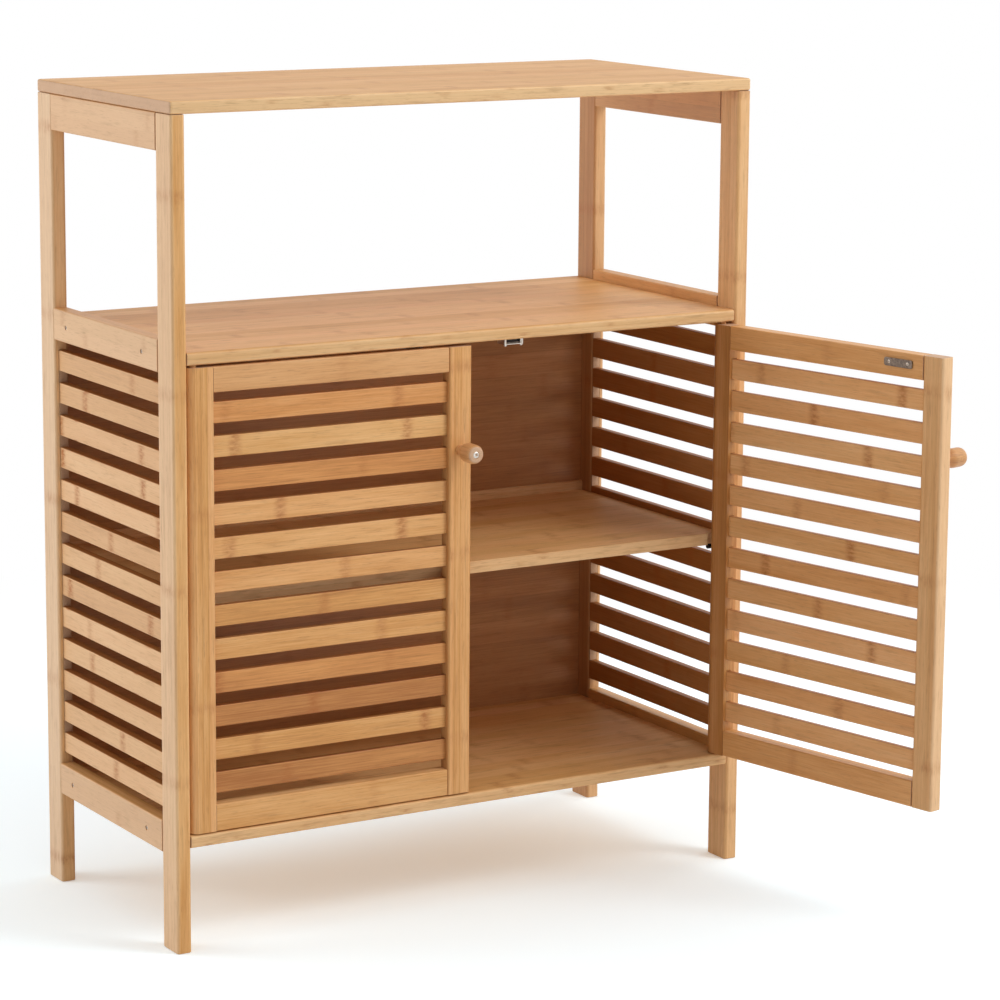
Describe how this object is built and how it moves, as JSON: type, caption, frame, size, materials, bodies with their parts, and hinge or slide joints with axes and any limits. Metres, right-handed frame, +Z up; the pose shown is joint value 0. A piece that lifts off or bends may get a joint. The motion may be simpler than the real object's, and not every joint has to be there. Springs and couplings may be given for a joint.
{
  "type": "louvred door cabinet",
  "caption": "Bamboo cabinet with an open bay under its top and, below it, a cupboard with louvred doors and sides and an inner shelf.",
  "frame": {"origin": "on the floor, at the centre of the outline with the right door open as at rest", "axes": "+Z up, -Y out of the front where the doors are, +X to the right of someone facing the front"},
  "size_m": [0.7086, 0.5762, 0.8],
  "materials": {
    "bamboo": "laminated bamboo strips under a clear satin lacquer",
    "turned_bamboo": "turned, clear satin lacquer",
    "catch_zinc": "zinc-plated",
    "dark_steel": "blackened steel"
  },
  "bodies": {
    "cabinet": {"back_panel": "bamboo", "back_rail": "bamboo", "bottom_board": "bamboo", "bottom_rail_left": "bamboo", "bottom_rail_right": "bamboo", "inner_shelf": "bamboo", "leg_back_left": "bamboo", "leg_back_right": "bamboo", "leg_front_left": "bamboo", "leg_front_right": "bamboo", "magnetic_catch_left": "catch_zinc", "magnetic_catch_right": "catch_zinc", "mid_board": "bamboo", "mid_rail_left": "bamboo", "mid_rail_right": "bamboo", "shelf_pin_back_left": "dark_steel", "shelf_pin_back_right": "dark_steel", "shelf_pin_front_left": "dark_steel", "shelf_pin_front_right": "dark_steel", "side_slats_left": "bamboo", "side_slats_right": "bamboo", "top_board": "bamboo", "top_rail_left": "bamboo", "top_rail_right": "bamboo"},
    "left_door": {"left_door_bottom_rail": "bamboo", "left_door_free_stile": "bamboo", "left_door_hinge_stile": "bamboo", "left_door_knob": "turned_bamboo", "left_door_slat_1": "bamboo", "left_door_slat_10": "bamboo", "left_door_slat_11": "bamboo", "left_door_slat_12": "bamboo", "left_door_slat_2": "bamboo", "left_door_slat_3": "bamboo", "left_door_slat_4": "bamboo", "left_door_slat_5": "bamboo", "left_door_slat_6": "bamboo", "left_door_slat_7": "bamboo", "left_door_slat_8": "bamboo", "left_door_slat_9": "bamboo", "left_door_strike": "dark_steel", "left_door_top_rail": "bamboo"},
    "right_door": {"right_door_bottom_rail": "bamboo", "right_door_free_stile": "bamboo", "right_door_hinge_stile": "bamboo", "right_door_knob": "turned_bamboo", "right_door_slat_1": "bamboo", "right_door_slat_10": "bamboo", "right_door_slat_11": "bamboo", "right_door_slat_12": "bamboo", "right_door_slat_2": "bamboo", "right_door_slat_3": "bamboo", "right_door_slat_4": "bamboo", "right_door_slat_5": "bamboo", "right_door_slat_6": "bamboo", "right_door_slat_7": "bamboo", "right_door_slat_8": "bamboo", "right_door_slat_9": "bamboo", "right_door_strike": "dark_steel", "right_door_top_rail": "bamboo"}
  },
  "joints": [
    {"name": "left_door_hinge", "type": "hinge", "parent": "cabinet", "child": "left_door", "pos_m": [-0.33032, -0.00042, 0.335], "axis": [0, 0, -1], "range_deg": [0, 103]},
    {"name": "right_door_hinge", "type": "hinge", "parent": "cabinet", "child": "right_door", "pos_m": [0.25768, -0.00042, 0.335], "axis": [0, 0, 1], "range_deg": [-102, 1]}
  ]
}
